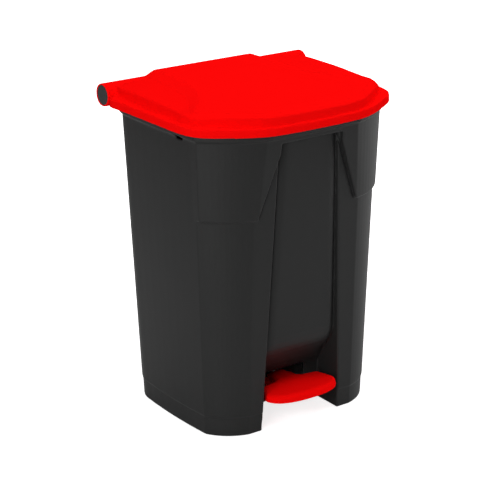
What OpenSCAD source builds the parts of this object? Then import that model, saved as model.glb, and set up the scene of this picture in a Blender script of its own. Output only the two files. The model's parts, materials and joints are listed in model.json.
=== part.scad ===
// Pedal-operated waste bin, about 70 litres: moulded tub on a hollow base,
// hinged lid, foot pedal, lever and lift rod.
// Millimetres, +Z up, front at -Y, right at +X; the bin stands on z = 0.
// Inside the modules, depths (y) are counted from the front foot line of the base and
// heights (z) from a datum just above the floor; in_frame() moves them to the final frame.

/* [Tub] */
// height of the rim top
rim_z = 614.5; // [560:0.5:660]
// half width of the tub at its foot, at the rear
tub_hw = 194.5; // [170:0.5:210]
// growth of the half width per mm of height (moulding draft)
tub_draft = 0.0455; // [0.01:0.0005:0.06]
// depth of the back wall behind the front foot line
back_y = 316; // [290:1:330]
// wall thickness
wall = 3.2; // [2.4:0.1:5]
// height of the plinth band round the base
plinth_z = 38; // [20:1:60]
// how far the plinth band is set in
plinth_in = 1.6; // [0:0.1:4]
// underside of the tub floor
floor_z = 94; // [80:1:110]
// thickness of the tub floor
floor_t = 4; // [3:0.5:6]

/* [Pedal recess] */
// half width of the recess at the foot
rec_hw = 92.3; // [70:0.1:100]
// height of the recess top
rec_top = 583; // [500:1:600]
// depth of the toe space at the base
toe_y = 65.4; // [40:0.1:90]
// forward bulge of the recess back wall
rec_bulge = 8; // [0:0.5:12]

/* [Collar] */
// height of the step under the collar
collar_z = 440; // [400:1:500]
// half width of the collar cut-out at its lower end
collar_lo = 115.2; // [100:0.1:120]
// half width of the collar cut-out at its upper end
collar_hi = 64.6; // [50:0.1:80]

/* [Lid] */
// widening of the lid's outline beyond its drawn size
lid_grow = 0; // [-3:0.5:3]
// underside of the lid's skirt at the front
skirt_z = 606.5; // [603:0.5:610]
// top of the lid's rim bead at the front
ledge_z = 623.4; // [622:0.2:628]
// rise of the lid's rim towards the hinge, per mm of depth
rim_tilt = 0.0128; // [0:0.0004:0.016]
// depth of the gutter between the rim bead and the raised panel
gutter = 2.2; // [0.5:0.1:2.4]
// height of the raised panel at its front
panel_z = 641; // [636:1:646]
// top of the central hump at the hinge
hump_z = 655.3; // [648:0.1:665]
// lid wall thickness
lid_t = 3; // [2:0.1:4]

/* [Hinge] */
// depth position of the hinge axis
hinge_y = 325; // [310:1:340]
// height of the hinge axis
hinge_z = 623.5; // [600:0.5:640]
// radius of the hinge barrel
barrel_r = 22.5; // [18:0.5:28]
// half length of the hinge barrel
barrel_hl = 238.6; // [236:0.2:245]
// radius of the hinge pins
hinge_pin_r = 6; // [4:0.5:9]

/* [Pedal and linkage] */
// depth position of the lever's axle
axle_y = 130; // [110:1:150]
// height of the lever's axle
axle_z = 45; // [35:1:60]
// radius of the lever's axle
axle_r = 4; // [3:0.5:6]
// depth position of the lift rod
rod_y = 300; // [290:1:305]
// radius of the lift rod
rod_r = 3.5; // [2.5:0.5:5]
// distance of the crank pin from the hinge axis
crank_r = 30; // [24:0.5:34]
// radius of the clevis and crank pins
clevis_r = 3; // [2:0.5:4]
// opening angle of the lid
lid_open = 75; // [60:1:85]

/* [Colours] */
// tub colour
col_tub = "#3a3d3c"; // [#3a3d3c:Dark grey, #8a8d8c:Mid grey, #d8d8d4:Light grey, #e8c020:Yellow]
// lid and pedal colour
col_red = "#e00808"; // [#e00808:Red, #e8c020:Yellow, #1f6fb8:Blue, #2e8b4a:Green]
// bare steel colour
col_steel = "#b8bcc0"; // [#b8bcc0:Zinc plated, #8c8f92:Dark plated]

/* [Hidden] */
col_rubber = "#1c1c1c";
col_white = "#e8e8e4";
frame_shift = 146.65;  // depth of the origin behind the front foot line
base_drop = 2;         // the floor lies this far below the datum of the heights

// linkage, with the lid closed
swing = lid_open/2;
crank_y = hinge_y - crank_r*cos(swing);
crank_z = hinge_z - crank_r*sin(swing);
foot_pin_z = axle_z - crank_r*sin(swing);
// cross axes as [y, z]
hinge_axis = [hinge_y, hinge_z];
axle_axis = [axle_y, axle_z];
crank_axis = [crank_y, crank_z];
foot_axis = [rod_y, foot_pin_z];

// rod channel in the back wall
chan_hw = 48;
chan_y = 283;  // front face
// underside of the bosses that carry the lever's pivot bracket
boss_z = floor_z - 7;

// screws
shank_r = 1.75;
pilot_r = 1.95;
clear_r = 2.1;
head_r = 3.6;
head_h = 2.2;
// paired screws on the back wall: [x, z]
COVER_SCREWS = [[57, 70], [57, 520]];
BRACKET_SCREWS = [[176, 548], [176, 582]];
GUIDE_Z = 330;                            // middle of the rod guide
GUIDE_SCREW_Z = [GUIDE_Z - 16, GUIDE_Z + 16];
// upright screws, as grids: [x values, y values]
PIVOT_SCREWS = [[-34, 34], [axle_y - 15, axle_y + 15]];
PEDAL_SCREWS = [[-30, 30], [-12, 26]];
CRANK_SCREWS = [[0], [286, 306]];
// paired rubber parts: [x, y], front one first
FEET = [[150, 62], [150, 268]];
BUMPERS = [[60, -33.5], [221, 190]];
bumper_top = 621;

// ---------- outlines ----------
function lerp(a, b, t) = a + (b - a)*t;
function clamp01(t) = min(1, max(0, t));
function unit(v) = v/max(norm(v), 1e-9);
// right half, from front centre to rear centre, completed to a closed outline
function full(half) = concat(half, [for (i = [len(half)-2:-1:1])
  let (q = half[i]) len(q) > 2 ? [-q[0], q[1], q[2]] : [-q[0], q[1]]]);
// right half completed by its mirror image, end points included
function two_sided(half) =
  concat(half, [for (i = [len(half)-1:-1:0]) [-half[i][0], half[i][1]]]);
// flat outline moved outward by d along its corner normals
function grown(p, d) = [for (i = [0:len(p)-1])
  let (a = p[(i + len(p) - 1) % len(p)],
       b = p[i],
       c = p[(i + 1) % len(p)],
       e = unit([b[0]-a[0], b[1]-a[1]]),
       f = unit([c[0]-b[0], c[1]-b[1]]),
       n = unit([e[1] + f[1], -e[0] - f[0]]),
       k = max(0.5, n*[e[1], -e[0]]))
  [b[0] + n[0]*d/k, b[1] + n[1]*d/k]];
function lift(p, z) = [for (q = p) [q[0], q[1], z]];
// the n-1 points between a and b on an arch of height h
function bulged(a, b, h, n) =
  let (t = unit([b[0]-a[0], b[1]-a[1]]), m = [t[1], -t[0]])
  [for (i = [1:n-1]) let (s = i/n) [lerp(a[0], b[0], s), lerp(a[1], b[1], s)] + m*h*4*s*(1-s)];

// ---------- solids and placing ----------
// closed solid through a stack of rings with the same number of points
module loft(rings) {
  n = len(rings[0]);
  m = len(rings);
  points = [for (r = rings) for (q = r) q];
  first_cap = [for (i = [0:n-1]) i];
  last_cap = [for (i = [n-1:-1:0]) (m-1)*n + i];
  sides = [for (k = [0:m-2]) for (i = [0:n-1])
    let (j = (i + 1) % n) each
    [[k*n + i, (k+1)*n + i, (k+1)*n + j], [k*n + i, (k+1)*n + j, k*n + j]]];
  polyhedron(points = points, faces = concat([first_cap], [last_cap], sides), convexity = 10);
}
// one faceted body from a group; the size stays
module meshed() resize([0, 0, 0]) children();
module in_frame() translate([0, -frame_shift, base_drop]) children();
module both() {
  children();
  mirror([1, 0, 0]) children();
}
module at_axis(axis) translate([0, axis[0], axis[1]]) children();
module at_grid(grid) for (x = grid[0]) for (y = grid[1]) translate([x, y, 0]) children();
module at_pairs(places) for (p = places) both() translate([p[0], p[1], 0]) children();
module at_back(places) for (p = places) translate([p[0], 0, p[1]]) children();
// y-z profile standing from x to x + w
module side_plate(x, w) translate([x, 0, 0]) rotate([90, 0, 90]) linear_extrude(height = w)
  children();
module x_cyl(r, x0, x1, fn = 48)
  translate([x0, 0, 0]) rotate([0, 90, 0]) cylinder(r = r, h = x1 - x0, $fn = fn);
module y_cyl(r, y0, y1, fn = 32)
  translate([0, y0, 0]) rotate([-90, 0, 0]) cylinder(r = r, h = y1 - y0, $fn = fn);
module z_cyl(r, z, h, fn = 32) translate([0, 0, z]) cylinder(r = r, h = h, $fn = fn);
// screw driven forward from the back, head at y = seat
module back_screw(seat) {
  y_cyl(shank_r, -11, seat);
  y_cyl(head_r, seat, seat + head_h);
}
// screw driven upward
module up_screw(head_z, shank_z, shank_h, head_r = head_r, head_h = head_h) {
  z_cyl(head_r, head_z, head_h);
  z_cyl(shank_r, shank_z, shank_h);
}
// cross pin with a clip groove near each end, its inner side at x = groove
module groove_pin(r, half_len, groove) difference() {
  x_cyl(r, -half_len, half_len);
  for (s = [-1, 1]) difference() {
    x_cyl(r + 1, s > 0 ? groove : -groove - 1.25, s > 0 ? groove + 1.25 : -groove);
    x_cyl(r - 0.45, -half_len - 1, half_len + 1);
  }
}
module clips(x, r) both() difference() {
  x_cyl(r + 3, x, x + 1.2);
  x_cyl(r - 0.4, x - 1, x + 3);
}

// ---------- tub outlines at height z ----------
function tub_half_w(z) = tub_hw + tub_draft*z;
function corner_r(z) = lerp(65, 49, z/600);
function recess_half_w(z) = rec_hw - 0.042*z;
function front_y(z) = -0.0328*z;
// ends of the bulged front corner: at the front and at the side
function front_end(z) = [123.5, -0.028*z];
function side_end(z) = [192.1 + 0.039*z, 51.1 - 0.0075*z];
// bulged side from the given end of the front corner, round the rear corner, to rear centre
function side_and_rear(start, z) = let (r = corner_r(z), x = tub_half_w(z)) concat(
  bulged(start, [x, back_y - r], 4, 8),
  [for (a = [0:10:90]) [x - r + r*cos(a), back_y - r + r*sin(a)]],
  [[0, back_y]]);
function tub_half(z) = concat(
  [[0, front_y(z) - 1], [recess_half_w(z), front_y(z)], front_end(z)],
  bulged(front_end(z), side_end(z), 9, 10),
  [side_end(z)],
  side_and_rear(side_end(z), z));
function tub(z, d = 0) = let (p = full(tub_half(z))) d == 0 ? p : grown(p, d);

// collar, the raised band round the front and corners
function collar_y(z) = -17.3 - 0.085*(z - collar_z);
function collar_front_end(z) = [116 - 0.068*(z - collar_z), collar_y(z) - 0.2];
function collar_side_end(z) = [209.5 + 0.0385*(z - collar_z), 39.6 - 0.01*(z - collar_z)];
function collar_front(z) = concat(
  [[0, collar_y(z) - 0.8], collar_front_end(z)],
  bulged(collar_front_end(z), collar_side_end(z), 9.5, 10),
  [collar_side_end(z)]);
function collar_half(z) =
  concat(collar_front(z), [[tub_half_w(z) - 3.4, 90], [tub_half_w(z) - 14, 100], [0, 100]]);
function rim_half(z) = concat(collar_front(z), side_and_rear(collar_side_end(z), z));
// growth of the cut-out's half width per mm downward
collar_slope = (collar_lo - collar_hi)/(rec_top - collar_z);

// depth of the crease between the recess's side and back walls: [z, y]
CREASE = [[0, toe_y], [58, 63.5], [70, 62.4], [85, 60], [95, 54.5], [104, 49], [113, 44],
  [123, 37.4], [133, 30.5], [143, 23], [150, 18.4], [160, 13.4], [172, 10], [184, 8.3],
  [275, 3.6], [442, -4.6], [600, -11.4]];
RECESS_Z = concat([-20], [for (i = [1:len(CREASE)-2]) CREASE[i][0]], [560]);
cut_front = -80;  // the recess cut starts this far forward
lip_r = 3;        // rounding between the recess walls and the front face
function lip(z) = let (x = recess_half_w(z) + lip_r, y = front_y(z) + lip_r - 0.15)
  concat([[x, cut_front]], [for (a = [270:-22.5:180]) [x + lip_r*cos(a), y + lip_r*sin(a)]]);
// recess grown by e; only the ungrown one has the rounded lip
function recess_outline(z, e) =
  let (x = recess_half_w(z) + e,
       y = lookup(z, CREASE) + e,
       b = rec_bulge*clamp01((z - 82)/70),
       back_x = x - 3 - 2*e)
  two_sided(concat(
    e == 0 ? lip(z) : [[x, cut_front]],
    [[x, y], [back_x, y]],
    [for (i = [1:7]) let (a = i/7*90) [back_x - 19*(1 - cos(a)), y - b*sin(a)]]));

// ---------- tub ----------
module recess(e)
  loft([for (z = concat(RECESS_Z, [rec_top + e])) lift(recess_outline(z, e), z)]);
// narrow groove at the foot of the collar's slanting edge, grown by e
module collar_groove(e)
  loft([for (z = [collar_z + 1.5 - e, 500, rec_top - 8 + e])
    let (x = collar_hi + collar_slope*(rec_top - z),
         inner = x - 3.2 - e,
         outer = x + 0.3 + e,
         y = front_y(z) + 4.6 + e)
    lift([[inner, -60], [outer, -60], [outer, y], [inner, y]], z)]);
// trapezium kept free of the collar, with rounded upper corners
module collar_gap() {
  r = 9;
  below = 30;
  half = concat([[collar_lo + collar_slope*below, collar_z - below]],
    [for (a = [0:15:90]) [collar_hi - r + r*cos(a), rec_top - r + r*sin(a)]]);
  translate([0, 60, 0]) rotate([90, 0, 0]) linear_extrude(height = 160)
    polygon(two_sided(half));
}
module channel(grow, z)
  translate([-chan_hw - grow, chan_y - grow, z]) cube([2*(chan_hw + grow), 60, 700]);
module back_bosses(r, y0, y1)
  both() at_back(concat(COVER_SCREWS, BRACKET_SCREWS)) y_cyl(r, y0, y1, 20);

module tub_outer() {
  foot_z = 0.5 - base_drop;  // the tub's edge hangs 0.5 above the floor
  // [z, growth]: plinth, step, then the plain wall
  stations = concat(
    [[foot_z, -plinth_in - 1], [foot_z + 1.5, -plinth_in], [plinth_z - 1, -plinth_in],
     [plinth_z, -plinth_in + 0.3], [plinth_z + 1.5, 0]],
    [for (z = [90, 180, 300, 420, 520, 602]) [z, 0]]);
  loft([for (s = stations) lift(tub(s[0], s[1]), s[0])]);
  difference() {
    loft([for (z = [collar_z, 500, 560, 604]) lift(full(collar_half(z)), z)]);
    collar_gap();
  }
  // pads that carry the hinge brackets on the rear corners
  both() side_plate(163, 26) polygon([[282, 598], [back_y, 598], [back_y, 530], [282, 496]]);
  // rim flange: [z, growth]
  loft([for (s = [[594, 0.2], [597.5, 6], [rim_z - 2, 6.5], [rim_z, 5]])
    lift(grown(full(rim_half(600)), s[1]), s[0])]);
}
module cavity() difference() {
  loft([for (z = [floor_z + floor_t, 180, 300, 440, 520, 640]) lift(tub(z, -wall), z)]);
  recess(wall);
  both() collar_groove(2.4);
  channel(wall, -5);
  back_bosses(5.5, back_y - 16, back_y);
  // block behind the rod guide's screws
  translate([-16, chan_y - wall - 7, GUIDE_Z - 24]) cube([32, 20, 48]);
}
module base_hollow() difference() {
  loft([for (z = [-5, 40, floor_z]) lift(tub(z, -wall - plinth_in), z)]);
  recess(wall);
  channel(wall, -15);
  at_pairs(FEET) z_cyl(17, -1, 120);
  at_grid(PIVOT_SCREWS) z_cyl(5, boss_z, 20, 20);
}
module body_shell() color(col_tub) in_frame() meshed() difference() {
  tub_outer();
  recess(0);
  cavity();
  base_hollow();
  // channel for the lift rod, open at the back and at both ends
  channel(0, -5);
  both() collar_groove(0);
  // the toe space wall stops short of the floor
  translate([-82, 50, -5]) cube([164, 30, 17]);
  // way through for the lever, at the front wall and into the channel
  translate([-53, 40, -5]) cube([106, 50, 93]);
  translate([-30, chan_y - 20, -5]) cube([60, 40, floor_z + 1]);
  // rim is lower under the hinge barrel
  translate([-300, 291, 599.3]) cube([600, 100, 60]);
  // flat seats of the hinge brackets
  both() translate([162, back_y, 590]) cube([28, 30, 30]);
  // finger slots under the rim, left and right
  both() translate([200, 78, 590]) cube([40, 20, 8]);
  // pilot holes
  back_bosses(pilot_r, back_y - 13, back_y + 5);
  at_grid(PIVOT_SCREWS) z_cyl(pilot_r, boss_z - 1, 7, 20);
  for (z = GUIDE_SCREW_Z) translate([0, 0, z]) y_cyl(pilot_r, chan_y - 7, chan_y + 3, 20);
  // seats of the rubber feet
  at_pairs(FEET) z_cyl(14.2, -4, 7.2, 40);
}

// ---------- lid outlines, right half from front centre to rear centre ----------
// rim: [x, y]
LID_RIM = [[0, -53.2], [25, -53], [50, -52.4], [75, -51.2], [99, -48.8], [119, -44],
  [137, -36.3], [154, -27.6], [170, -18.8], [186, -9.3], [203, 2], [217, 14], [227, 27.5],
  [233.5, 46], [237, 70], [239, 97], [240.3, 130], [241.3, 160], [242.3, 190], [243.8, 220],
  [246, 245], [248.5, 268], [248, 281], [240, 291], [226, 297], [0, 301]];
// upper edge of the raised panel: [x, y, z]; it dips a little at the front corners
PANEL_EDGE = [[0, -45, 640.4], [25, -45, 640.4], [50, -44.6, 640.4], [74, -43, 640.4],
  [96, -39.5, 640.5], [117, -31.5, 640.6], [135, -20.5, 640.8], [151, -9.5, 641],
  [166, 2, 641], [181, 14, 640.6], [197, 26, 639], [210, 38, 637.4], [217.5, 54, 638],
  [221.5, 75, 641], [219.8, 100, 641.3], [220, 130, 642.4], [220.3, 160, 643.5],
  [221.2, 190, 643.9], [221.3, 218, 643.9], [221.3, 245, 643.9], [221.3, 268, 643.6],
  [221, 285, 643], [218.5, 300, 642.5], [213, 308, 642], [205, 308, 642], [0, 308, 642]];
// foot of the plateau in the middle of the panel: [x, y]
PLATEAU_FOOT = [[0, -42], [25, -42], [49, -41.5], [73, -40], [94, -36.5], [114.5, -28.5],
  [132.5, -17.5], [148.5, -6.5], [163, 5], [178, 17], [193.5, 28.5], [206, 40.5], [212, 56],
  [205, 75], [190, 99], [174, 124], [161, 150], [151, 180], [143.5, 212], [140, 245],
  [139, 270], [139, 295], [139, 312], [137, 322], [130, 325], [0, 325]];
// top edge of the plateau: [x, y]
PLATEAU_TOP = [[0, -36], [24, -36], [47, -35.4], [70, -33.5], [90, -29.5], [109.5, -21.5],
  [127, -11], [142.5, -0.5], [157, 10.5], [172, 22], [187.5, 33], [200, 43], [204.5, 57],
  [194, 73], [177, 91], [159, 112], [141, 139], [126, 166], [116.5, 205], [113.8, 240],
  [113.5, 270], [113.5, 300], [113.5, 318], [112, 325], [105, 325], [0, 325]];
// side wall of the raised panel:
// [growth of the edge, height, 0 = above the gutter or 1 = above the edge]
PANEL_WALL = [[3.8, -6, 0], [3.8, 0, 0], [2.3, 0.9, 0], [1.5, 3, 0],
  [0.5, -2.2, 1], [0.1, -0.9, 1], [-1.4, 0, 1]];
// hump over the middle of the barrel: [x, height above the barrel]
HUMP = [[-139, 0], [-131, 1.2], [-120, 6.8], [-113.5, 9.3],
  [113.5, 9.3], [120, 6.8], [131, 1.2], [139, 0]];

function rise(y) = rim_tilt*(y + 58);
function gutter_z(y) = ledge_z - gutter + rise(y);
// lid rim outline grown by d, tilted, at height z
function lid_ring(d, z) =
  [for (q = grown(full(LID_RIM), d + lid_grow)) [q[0], q[1], z + rise(q[1])]];
// heights of the plateau's foot and top
function panel_part(y) = (y + 45)/370;
function foot_z(y) = panel_z + 4.6*panel_part(y);
function plateau_z(y) = lerp(panel_z + 2.4, hump_z, panel_part(y));

// ---------- lid ----------
// raised panel and plateau; drop > 0 gives the hollow inside, that much below the skin
module panel(drop) {
  inset = drop > 0 ? 2.4 : 0;
  edge = full(PANEL_EDGE);
  inner_edge = grown(edge, -inset);
  loft(concat(
    [for (w = PANEL_WALL) let (e = grown(inner_edge, w[0])) [for (k = [0:len(edge)-1])
      [e[k][0], e[k][1], (w[2] == 0 ? gutter_z(e[k][1]) : edge[k][2]) + w[1] - drop]]],
    [[for (q = grown(full(PLATEAU_FOOT), -inset*0.4)) [q[0], q[1], foot_z(q[1]) - drop]]],
    [[for (q = grown(full(PLATEAU_TOP), -inset*0.4)) [q[0], q[1], plateau_z(q[1]) - drop]]]));
}
// barrel section, raised by h over its upper half
function barrel_ring(x, r, h, n = 40) = [for (i = [0:n-1]) let (a = 360*i/n)
  [x, hinge_y + r*cos(a),
   hinge_z + r*sin(a) + h*clamp01(0.5 + 1.6*sin(a))*clamp01(sin(a)*3)]];
module hump(inset)
  loft([for (s = HUMP) barrel_ring(s[0] - (inset > 0 ? sign(s[0])*3 : 0), barrel_r - inset, s[1])]);
module barrel() at_axis(hinge_axis) x_cyl(barrel_r, -barrel_hl, barrel_hl, 60);
module lid_solid() {
  // skirt with a rounded bead along its top: [growth, z]
  loft([for (s = [[0.2, skirt_z], [0.9, skirt_z + 1], [0.5, skirt_z + 4],
      [0.1, ledge_z - 2.2], [-0.6, ledge_z - 0.7], [-2, ledge_z],
      [-3.3, ledge_z - 0.6], [-4.4, ledge_z - gutter]])
    lid_ring(s[0], s[1])]);
  panel(0);
  hump(0);
  barrel();
  // fairing between the panel and the barrel top
  loft([for (x = [-217, -139, 139, 217])
    [[x, 296, 619], [x, hinge_y, hinge_z], [x, hinge_y, hinge_z + barrel_r - 0.1],
     [x, 306, 641.9], [x, 296, 641.9]]]);
}
module lid_inner() {
  loft([lid_ring(-lid_t, skirt_z - 8), lid_ring(-lid_t, ledge_z - gutter - 2.8)]);
  panel(lid_t);
}
// sector about the hinge axis, between angles a0 and a1
module sweep_cut(x0, x1, a0, a1, r = 60)
  at_axis(hinge_axis) side_plate(x0, x1 - x0)
    polygon(concat([[0, 0]], [for (i = [0:12]) let (a = lerp(a0, a1, i/12)) [r*cos(a), r*sin(a)]]));
module lid_shell() color(col_red) in_frame() meshed() union() {
  difference() {
    lid_solid();
    difference() {
      lid_inner();
      // barrel front stays as a wall behind the hollow
      barrel();
      hump(0);
      translate([-300, 298, 500]) cube([600, 100, 300]);
      // ribs under the panel
      for (x = [-120, -40, 40, 120]) translate([x - 1, -30, ledge_z - 5]) cube([2, 320, 60]);
      // seats for the bumpers
      at_pairs(BUMPERS) z_cyl(8, bumper_top, 40, 28);
    }
    // hollow of the barrel, with 3 mm webs left across it
    at_axis(hinge_axis) {
      x_cyl(barrel_r - 3, -158, 158, 60);
      both() for (s = [[161, 191], [194, 216.5], [219.5, barrel_hl + 1]])
        x_cyl(barrel_r - 3, s[0], s[1], 60);
    }
    intersection() {
      hump(3);
      translate([-133, 300, hinge_z]) cube([266, 60, 60]);
    }
    at_axis(hinge_axis) x_cyl(hinge_pin_r + 0.05, -230, 230, 40);
    // ways for the hinge brackets
    both() sweep_cut(161, 191, 236, 366);
    // open middle for the crank and the rod
    sweep_cut(-44, 44, 164, 290);
    translate([-44, 280, 560]) cube([88, 34.6, 80]);
    at_grid(CRANK_SCREWS) z_cyl(5, 630, 18.4, 24);
  }
  // bosses that carry the crank
  at_grid(CRANK_SCREWS) difference() {
    z_cyl(5, 640, 13, 24);
    z_cyl(pilot_r, 639, 9.4, 20);
  }
}

// ---------- hinge ----------
bracket_x = 165;
bracket_w = 22;
module hinge_bracket() color(col_tub) difference() {
  union() {
    side_plate(bracket_x, bracket_w)
      polygon([[back_y + 0.05, 532], [back_y + 5, 532], [back_y + 5, 578], [330, 598],
        [332, 612], [hinge_y + 10, hinge_z], [hinge_y - 10, hinge_z], [316, 610],
        [316, 602], [back_y + 0.05, 598]]);
    at_axis(hinge_axis) x_cyl(14, bracket_x, bracket_x + bracket_w);
  }
  at_axis(hinge_axis) x_cyl(hinge_pin_r + 0.05, 160, 192, 48);
  at_back(BRACKET_SCREWS) {
    y_cyl(clear_r, back_y - 1, back_y + 20, 32);
    y_cyl(4.6, back_y + 3.4, back_y + 30, 32);
  }
}
module hinge_bracket_left() in_frame() mirror([1, 0, 0]) hinge_bracket();
module hinge_bracket_right() in_frame() hinge_bracket();
module hinge_bracket_screws() color(col_steel) in_frame()
  both() at_back(BRACKET_SCREWS) translate([0, back_y, 0]) back_screw(3.45);
// pin with a stepped cap that closes the barrel's end
module hinge_pin() color(col_tub) at_axis(hinge_axis) {
  x_cyl(barrel_r - 3.15, 234, 237.2, 60);
  x_cyl(barrel_r - 5, 219.6, 234.1, 60);
  x_cyl(hinge_pin_r, 156, 220, 48);
}
module hinge_pin_left() in_frame() mirror([1, 0, 0]) hinge_pin();
module hinge_pin_right() in_frame() hinge_pin();

// ---------- crank under the lid ----------
crank_plate_z = 636;  // underside of the plate screwed to the lid
module lid_crank() color(col_tub) in_frame() difference() {
  union() {
    for (x = [-8.5, 4.5]) side_plate(x, 4)
      polygon([[crank_y - 8, crank_z - 2], [crank_y - 5, crank_z - 7],
        [crank_y + 3, crank_z - 7.5], [crank_y + 8, crank_z - 3], [crank_y + 9, crank_z + 14],
        [crank_y + 13, 632], [crank_y + 13, 640], [crank_y - 21, 640], [crank_y - 21, 635],
        [crank_y - 8, crank_z + 14]]);
    translate([-12, crank_y - 21, crank_plate_z]) cube([24, 34, 3.95]);
  }
  at_axis(crank_axis) x_cyl(clevis_r + 0.02, -20, 20);
  at_grid(CRANK_SCREWS) z_cyl(pilot_r, 630, 12);
}
module lid_crank_screws() color(col_steel) in_frame() at_grid(CRANK_SCREWS)
  up_screw(head_z = crank_plate_z - 2.05, shank_z = crank_plate_z - 0.1, shank_h = 11.6,
    head_r = 3.4, head_h = 2);
module crank_pin() color(col_steel) in_frame() at_axis(crank_axis)
  groove_pin(clevis_r, 11.5, 8.68);
module crank_pin_clips() color(col_steel) in_frame() at_axis(crank_axis) clips(8.7, clevis_r);

// ---------- lift rod ----------
// slot in the rod's head: radius, and how far its end centres lie behind and before the pin
slot_r = 3.62;
slot_behind = 0.4;
slot_before = 6.7;
module lift_rod() color(col_steel) in_frame() difference() {
  union() {
    translate([0, rod_y, 0]) z_cyl(rod_r, foot_pin_z + 5, crank_z - foot_pin_z - 11, 40);
    at_axis(foot_axis) x_cyl(8.5, -4, 4);
    translate([-4, rod_y - 12, crank_z - 7.5]) cube([8, 20, 14.5]);
  }
  at_axis(foot_axis) x_cyl(clevis_r + 0.04, -6, 6);
  // slot that takes the crank pin
  for (y = [slot_behind, -slot_before]) translate([0, crank_y + y, crank_z]) x_cyl(slot_r, -6, 6);
  translate([-6, crank_y - slot_before, crank_z - slot_r])
    cube([12, slot_before + slot_behind, 2*slot_r]);
}
module clevis_pin() color(col_steel) in_frame() at_axis(foot_axis)
  groove_pin(clevis_r, 17, 14.2);
module clevis_clips() color(col_steel) in_frame() at_axis(foot_axis) clips(14.22, clevis_r);

// ---------- lever and pedal ----------
lever_hw = 14;      // half width over both cheeks
plate_z = 63.8;     // underside of the foot plate
plate_top = 66.8;
// profiles: [y, z]
LEVER_CHEEK = [[-26, 57], [-26, plate_top], [44, plate_top], [70, 62], [110, 55.5], [142, 54],
  [285, 36], [rod_y + 7, foot_pin_z + 7], [rod_y + 9, foot_pin_z], [rod_y + 6, foot_pin_z - 7],
  [rod_y - 6, foot_pin_z - 8.5], [262, 20], [150, 34], [118, 34], [60, 48], [40, 54]];
LEVER_WEB = [[-26, plate_z], [-26, plate_top], [44, plate_top], [70, 62], [110, 55.5],
  [142, 54], [250, 40.4], [250, 37.4], [142, 51], [110, 52.4], [70, 59], [44, plate_z]];
module pedal_lever() color(col_tub) in_frame() difference() {
  union() {
    for (x = [-lever_hw, lever_hw - 4]) side_plate(x, 4) polygon(LEVER_CHEEK);
    // web along the top, front part under the pedal
    side_plate(-lever_hw, 2*lever_hw) polygon(LEVER_WEB);
    // wide foot plate that carries the pedal
    translate([-40, -26, plate_z]) cube([80, 61, 3]);
    at_axis(axle_axis) x_cyl(9, -lever_hw, lever_hw);
  }
  at_axis(axle_axis) x_cyl(axle_r + 0.04, -40, 40);
  at_axis(foot_axis) x_cyl(clevis_r + 0.02, -40, 40);
  at_grid(PEDAL_SCREWS) z_cyl(clear_r, 60, 12);
}
// pedal outline, right half: [x, y]
PEDAL = [[0, -36.5], [15, -36.2], [30, -35], [45, -32], [58, -27.5], [68, -22.3], [75, -16],
  [80, -9], [82.8, -2], [82.6, 3.5], [80.4, 12], [77.6, 21], [74.6, 29.5], [71.3, 36.5],
  [66.5, 40.6], [60, 41.8], [52, 42.3], [42, 43], [33, 45], [27, 49], [23.5, 56], [21.5, 68],
  [20.5, 80], [19, 88], [0, 88]];
pedal_z = 58;  // underside
// rounded edges, outside and in the hollow: [inset, z]
PEDAL_SKIN = [[0, pedal_z], [0.35, 62], [1.0, 66.5], [2.2, 70], [4.2, 72.6], [7, 74], [11, 74.6]];
PEDAL_HOLLOW = [[3, 50], [3, 62], [4, 66], [6.5, 69.8]];
module pedal() color(col_red) in_frame() meshed() difference() {
  union() {
    // the skin droops towards both sides
    loft([for (s = PEDAL_SKIN) [for (q = grown(full(PEDAL), -s[0]))
      [q[0], q[1], s[1] - 0.00035*q[0]*q[0]*(s[1] - pedal_z)/16]]]);
    // low flat root that reaches into the opening on both sides of the neck: [z, inset]
    both() loft([for (s = [[58.3, 0], [61, 0], [62, 1]]) let (i = s[1])
      lift([[15, 38], [38 - i, 38], [38 - i, 84 - i], [34 - i, 88 - i], [15, 88 - i]], s[0])]);
  }
  difference() {
    loft([for (s = PEDAL_HOLLOW) lift(grown(full(PEDAL), -s[0]), s[1])]);
    // screw bosses and ribs
    at_grid(PEDAL_SCREWS) z_cyl(5, plate_top + 0.05, 20, 24);
    for (x = [-58, 58]) translate([x - 1, -60, 60]) cube([2, 200, 20]);
    translate([-100, 60, 60]) cube([200, 2, 20]);
  }
  // passage of the lever out of the back of the pedal
  translate([-16.5, 40, 40]) cube([33, 80, 27.5]);
  at_grid(PEDAL_SCREWS) z_cyl(pilot_r, 60, 11.5, 20);
}
module pedal_screws() color(col_steel) in_frame() at_grid(PEDAL_SCREWS)
  up_screw(head_z = plate_z - 2.1, shank_z = plate_z - 0.1, shank_h = 6.6,
    head_r = 3.8, head_h = 2.05);

// ---------- lever pivot ----------
module pivot_bracket() color(col_steel) in_frame() difference() {
  union() {
    translate([-42, axle_y - 22, boss_z - 3.05]) cube([84, 44, 3]);
    for (x = [-22, 19]) side_plate(x, 3)
      polygon([[axle_y - 20, boss_z - 1], [axle_y + 20, boss_z - 1], [axle_y + 11, axle_z - 4],
        [axle_y + 6, axle_z - 9], [axle_y - 6, axle_z - 9], [axle_y - 11, axle_z - 4]]);
  }
  at_axis(axle_axis) x_cyl(axle_r + 0.02, -40, 40);
  at_grid(PIVOT_SCREWS) z_cyl(clear_r, 70, 30);
}
module pivot_bracket_screws() color(col_steel) in_frame() at_grid(PIVOT_SCREWS)
  up_screw(head_z = boss_z - 3.1 - head_h, shank_z = boss_z - 3.2, shank_h = 8.5);
module pedal_axle() color(col_steel) in_frame() at_axis(axle_axis) groove_pin(axle_r, 26, 22.6);
module axle_clips() color(col_steel) in_frame() at_axis(axle_axis) clips(22.62, axle_r);
module pivot_spacers() color(col_white) in_frame() at_axis(axle_axis) both() difference() {
  x_cyl(8, 14.15, 18.9);
  x_cyl(axle_r + 0.05, 10, 22);
}

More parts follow.
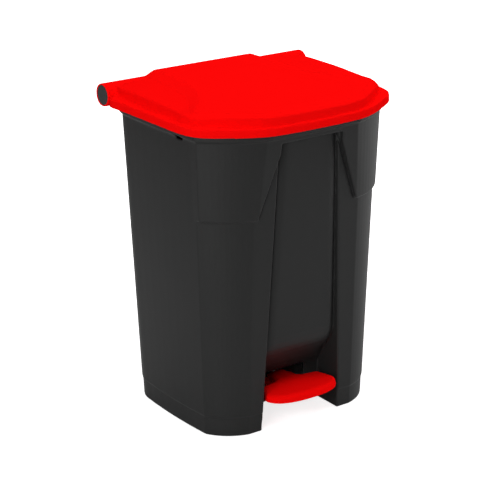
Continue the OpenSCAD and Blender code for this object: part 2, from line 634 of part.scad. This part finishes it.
// ---------- rod guide and rear cover ----------
module rod_guide() color(col_white) in_frame() difference() {
  union() {
    translate([-14, chan_y + 0.05, GUIDE_Z - 22]) cube([28, 4, 44]);
    translate([-12, chan_y + 0.05, GUIDE_Z - 9]) cube([24, 26, 18]);
  }
  // slot with room for the rod's sway
  translate([-rod_r - 0.5, rod_y - 5, GUIDE_Z - 20]) cube([2*rod_r + 1, 10.5, 40]);
  for (z = GUIDE_SCREW_Z) translate([0, 0, z]) y_cyl(clear_r, chan_y - 2, chan_y + 12, 32);
}
module rod_guide_screws() color(col_steel) in_frame()
  for (z = GUIDE_SCREW_Z) translate([0, chan_y, z]) {
    y_cyl(shank_r, -5.5, 4.2);
    y_cyl(head_r, 4.1, 6.2);
  }
module rear_cover() color(col_tub) in_frame() difference() {
  union() {
    translate([-64, back_y + 0.05, 44]) cube([128, 2.6, 502]);
    // stiffening ribs that locate the cover in the channel
    for (x = [-46.5, 44.5]) translate([x, back_y - 8, 52]) cube([2, 8.2, 486]);
  }
  both() at_back(COVER_SCREWS) y_cyl(clear_r, back_y - 1, back_y + 6, 32);
  // vents
  for (z = [130:60:490]) translate([-20, back_y - 2, z]) cube([40, 8, 5]);
}
module rear_cover_screws() color(col_steel) in_frame()
  both() at_back(COVER_SCREWS) translate([0, back_y, 0]) back_screw(2.7);

// ---------- rubber parts ----------
// side is -1 for left, 1 for right
module foot(place, side) color(col_rubber) in_frame()
  translate([side*place[0], place[1], -base_drop]) {
    cylinder(r1 = 12.6, r2 = 14, h = 1.2, $fn = 48);
    z_cyl(14, 1.19, 1.95 + base_drop, 48);
  }
module foot_front_left() foot(FEET[0], -1);
module foot_front_right() foot(FEET[0], 1);
module foot_rear_left() foot(FEET[1], -1);
module foot_rear_right() foot(FEET[1], 1);
module lid_bumpers() color(col_rubber) in_frame() at_pairs(BUMPERS) {
  translate([0, 0, rim_z + 0.15]) cylinder(r1 = 3.4, r2 = 4.4, h = 1.5, $fn = 36);
  z_cyl(6.5, rim_z + 1.6, bumper_top - rim_z - 1.65, 36);
}

body_shell();
lid_shell();
hinge_bracket_left();
hinge_bracket_right();
hinge_bracket_screws();
hinge_pin_left();
hinge_pin_right();
lid_crank();
lid_crank_screws();
crank_pin();
crank_pin_clips();
pedal();
pedal_lever();
pedal_screws();
pivot_bracket();
pivot_bracket_screws();
pedal_axle();
axle_clips();
pivot_spacers();
lift_rod();
clevis_pin();
clevis_clips();
rod_guide();
rod_guide_screws();
rear_cover();
rear_cover_screws();
lid_bumpers();
foot_front_left();
foot_front_right();
foot_rear_left();
foot_rear_right();
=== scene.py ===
"""Pedal bin with a dark tub and a red lid: materials, softened edges and a pale studio.

Metres, +Z up. The bin stands on z = 0 with its front towards -Y and its left side towards -X.
All the pieces come from the CAD frame.
"""
import json
import math

import bpy
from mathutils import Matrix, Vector

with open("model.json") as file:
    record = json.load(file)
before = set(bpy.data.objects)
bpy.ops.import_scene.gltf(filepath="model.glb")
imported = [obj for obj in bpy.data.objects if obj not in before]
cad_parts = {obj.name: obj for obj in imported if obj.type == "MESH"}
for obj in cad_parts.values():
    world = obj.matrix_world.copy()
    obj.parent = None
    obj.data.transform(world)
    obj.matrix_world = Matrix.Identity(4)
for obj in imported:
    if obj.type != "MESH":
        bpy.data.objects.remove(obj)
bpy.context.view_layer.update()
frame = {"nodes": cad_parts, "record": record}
nodes = frame["nodes"]
scene = bpy.context.scene


# ---------------------------------------------------------------- materials
GRAIN_DEPTH = 0.0002


def add_grain(tree, shader, strength, scale):
    """Give the surface a fine noise bump."""
    coords = tree.nodes.new("ShaderNodeTexCoord")
    noise = tree.nodes.new("ShaderNodeTexNoise")
    noise.inputs["Scale"].default_value = scale
    noise.inputs["Detail"].default_value = 3.0
    bump = tree.nodes.new("ShaderNodeBump")
    bump.inputs["Strength"].default_value = strength
    bump.inputs["Distance"].default_value = GRAIN_DEPTH
    tree.links.new(coords.outputs["Object"], noise.inputs["Vector"])
    tree.links.new(noise.outputs["Fac"], bump.inputs["Height"])
    tree.links.new(bump.outputs["Normal"], shader.inputs["Normal"])


def principled(name, color, roughness, specular, metallic=0.0, grain=0.0, grain_scale=900.0):
    material = bpy.data.materials.new(name)
    material.use_nodes = True
    tree = material.node_tree
    shader = tree.nodes["Principled BSDF"]
    shader.inputs["Base Color"].default_value = (*color, 1.0)
    shader.inputs["Roughness"].default_value = roughness
    shader.inputs["Metallic"].default_value = metallic
    shader.inputs["Specular IOR Level"].default_value = specular
    if grain:
        add_grain(tree, shader, grain, grain_scale)
    return material


# material slot: look
SLOT_LOOKS = {
    "tub_plastic": dict(color=(0.0168, 0.0170, 0.0169), roughness=0.5, specular=0.22, grain=0.06),
    "lid_plastic": dict(color=(0.97, 0.0026, 0.0026), roughness=0.6, specular=0.0, grain=0.03),
    "steel": dict(color=(0.58, 0.59, 0.60), roughness=0.38, specular=0.5, metallic=1.0),
    "white_plastic": dict(color=(0.78, 0.78, 0.75), roughness=0.45, specular=0.4),
    "rubber": dict(color=(0.016, 0.016, 0.016), roughness=0.85, specular=0.2,
                   grain=0.2, grain_scale=500.0),
}
materials = {slot: principled(slot, **look) for slot, look in SLOT_LOOKS.items()}
dark_pin = principled("dark_pin", color=(0.03, 0.03, 0.03), roughness=0.45, specular=0.35)

slot_of_node = {part["node"]: part["material_slot"] for part in frame["record"]["subparts"]}
for name, piece in nodes.items():
    slot = slot_of_node.get(name, "tub_plastic")
    # hinge pins look dark whatever their slot
    material = dark_pin if name.startswith("hinge_pin") else materials[slot]
    piece.data.materials.clear()
    piece.data.materials.append(material)


# ---------------------------------------------------------------- edges
# Moulded pieces. voxel: grid size; rounds: smoothing passes; keep: share of faces kept.
MOULDED = {
    "body_shell": dict(voxel=0.0015, rounds=5, keep=0.25),
    "lid_shell": dict(voxel=0.0015, rounds=9, keep=0.5),
    "pedal": dict(voxel=0.0009, rounds=7),
}
SHARP_ANGLE = math.radians(32)  # edges steeper than this stay crisp on the other pieces


def soften(piece, voxel, rounds, keep=1.0):
    """Rebuild the skin on a fine grid and relax it, so that every edge gets a small radius."""
    skin = piece.modifiers.new("skin", "REMESH")
    skin.mode = "VOXEL"
    skin.voxel_size = voxel
    skin.adaptivity = 0.0
    skin.use_smooth_shade = True
    relax = piece.modifiers.new("relax", "SMOOTH")
    relax.factor = 0.5
    relax.iterations = rounds
    if keep < 1.0:
        thin = piece.modifiers.new("thin", "DECIMATE")
        thin.ratio = keep


def shade_by_angle(piece):
    # faces left flat would keep their edges sharp at any angle
    for face in piece.data.polygons:
        face.use_smooth = True
    bpy.context.view_layer.objects.active = piece
    for other in bpy.context.selected_objects:
        other.select_set(False)
    piece.select_set(True)
    bpy.ops.object.shade_smooth_by_angle(angle=SHARP_ANGLE)
    piece.select_set(False)


for name, piece in nodes.items():
    if name in MOULDED:
        soften(piece, **MOULDED[name])
    else:
        shade_by_angle(piece)


# ---------------------------------------------------------------- floor
FLOOR_SIZE = 14.0
FLOOR_Z = -0.0004  # just under the bin, so that the two never coincide
HIDDEN_CENTRE = dict(X=0.024, Y=0.036)  # patch underneath the tub
HIDDEN_HALF = dict(X=0.164, Y=0.074)
GLOW_DISTANCE = (0.5, 1.6)  # from the origin; the glow rises between these
GLOW_STRENGTH = (0.79, 1.1)  # near, far


def camera_switch(tree, output, unseen, seen):
    """Show one shader to the camera and use another for all other rays."""
    path = tree.nodes.new("ShaderNodeLightPath")
    mix = tree.nodes.new("ShaderNodeMixShader")
    tree.links.new(path.outputs["Is Camera Ray"], mix.inputs["Fac"])
    tree.links.new(unseen.outputs[0], mix.inputs[1])
    tree.links.new(seen.outputs[0], mix.inputs[2])
    tree.links.new(mix.outputs[0], tree.nodes[output].inputs["Surface"])


def math_node(tree, operation, *values):
    """Add a math node fed by numbers or sockets, and return its output."""
    node = tree.nodes.new("ShaderNodeMath")
    node.operation = operation
    for socket, value in zip(node.inputs, values):
        if isinstance(value, (int, float)):
            socket.default_value = value
        else:
            tree.links.new(value, socket)
    return node.outputs[0]


def glow_strength(tree):
    """Glow that grows with distance and is off on the patch hidden underneath the tub."""
    geometry = tree.nodes.new("ShaderNodeNewGeometry")
    position = geometry.outputs["Position"]
    split = tree.nodes.new("ShaderNodeSeparateXYZ")
    tree.links.new(position, split.inputs[0])
    within = []
    for axis, centre in HIDDEN_CENTRE.items():
        offset = math_node(tree, "SUBTRACT", split.outputs[axis], centre)
        distance = math_node(tree, "ABSOLUTE", offset)
        within.append(math_node(tree, "LESS_THAN", distance, HIDDEN_HALF[axis]))
    hidden = math_node(tree, "MULTIPLY", *within)

    # stronger far away, where the lamps no longer reach
    away = tree.nodes.new("ShaderNodeVectorMath")
    away.operation = "LENGTH"
    tree.links.new(position, away.inputs[0])
    rise = tree.nodes.new("ShaderNodeMapRange")
    tree.links.new(away.outputs["Value"], rise.inputs["Value"])
    for side, values in (("From", GLOW_DISTANCE), ("To", GLOW_STRENGTH)):
        rise.inputs[side + " Min"].default_value = values[0]
        rise.inputs[side + " Max"].default_value = values[1]
    visible = math_node(tree, "SUBTRACT", 1.0, hidden)
    return math_node(tree, "MULTIPLY", visible, rise.outputs["Result"])


def floor_material():
    """Pale sheet that glows when seen directly, so that only a faint contact shadow shows."""
    material = bpy.data.materials.new("floor")
    material.use_nodes = True
    tree = material.node_tree
    tree.nodes.remove(tree.nodes["Principled BSDF"])
    pale = tree.nodes.new("ShaderNodeBsdfDiffuse")
    pale.inputs["Color"].default_value = (0.9, 0.9, 0.9, 1)
    glow = tree.nodes.new("ShaderNodeEmission")
    glow.inputs["Color"].default_value = (1, 1, 1, 1)
    tree.links.new(glow_strength(tree), glow.inputs["Strength"])
    lit = tree.nodes.new("ShaderNodeAddShader")
    tree.links.new(pale.outputs[0], lit.inputs[0])
    tree.links.new(glow.outputs[0], lit.inputs[1])
    camera_switch(tree, "Material Output", unseen=pale, seen=lit)
    return material


bpy.ops.mesh.primitive_plane_add(size=FLOOR_SIZE, location=(0, 0, FLOOR_Z))
floor = bpy.context.object
floor.name = "floor"
floor.data.materials.append(floor_material())


# ---------------------------------------------------------------- light
def white_background(node, strength):
    node.inputs["Color"].default_value = (1, 1, 1, 1)
    node.inputs["Strength"].default_value = strength
    return node


world = bpy.data.worlds.new("world")
scene.world = world
world.use_nodes = True
sky = world.node_tree
ambient = white_background(sky.nodes["Background"], strength=0.02)
backdrop = white_background(sky.nodes.new("ShaderNodeBackground"), strength=1.3)
camera_switch(sky, "World Output", unseen=ambient, seen=backdrop)

LIGHT_TARGET = Vector((0, 0, 0.35))
# name, place, width, height, power in watts
SOFTBOXES = [
    ("top", (0.0, 0.0, 3.0), 3.0, 3.0, 64.0),
    ("top_front", (0.0, -2.2, 2.6), 2.4, 2.0, 4.0),
    ("left_front", (-2.6, -1.6, 1.2), 1.6, 2.0, 47.0),
    ("right", (3.0, -0.8, 1.2), 2.0, 2.2, 46.0),
    ("right_rear", (2.4, 2.0, 1.3), 2.0, 2.2, 17.0),
]


def place(name, data, location):
    item = bpy.data.objects.new(name, data)
    scene.collection.objects.link(item)
    item.location = location
    return item


for name, location, width, height, power in SOFTBOXES:
    light = bpy.data.lights.new(name, "AREA")
    light.shape = "RECTANGLE"
    light.size = width
    light.size_y = height
    light.energy = power
    softbox = place(name, light, location)
    softbox.rotation_mode = "QUATERNION"
    aim = LIGHT_TARGET - Vector(location)
    softbox.rotation_quaternion = aim.to_track_quat("-Z", "Y")

# ---------------------------------------------------------------- camera
# long lens, looking down from the front left
lens = bpy.data.cameras.new("camera")
lens.sensor_width = 36.0
lens.lens = 127.0
lens.clip_start = 0.1
lens.clip_end = 50.0
camera = place("camera", lens, (-1.9149, -2.65055, 1.5084))
camera.rotation_euler = (math.radians(69.9), 0.0, math.radians(-35.6))
scene.camera = camera

scene.view_settings.view_transform = "Standard"
scene.view_settings.look = "None"
scene.view_settings.exposure = 0.0
scene.view_settings.gamma = 1.0
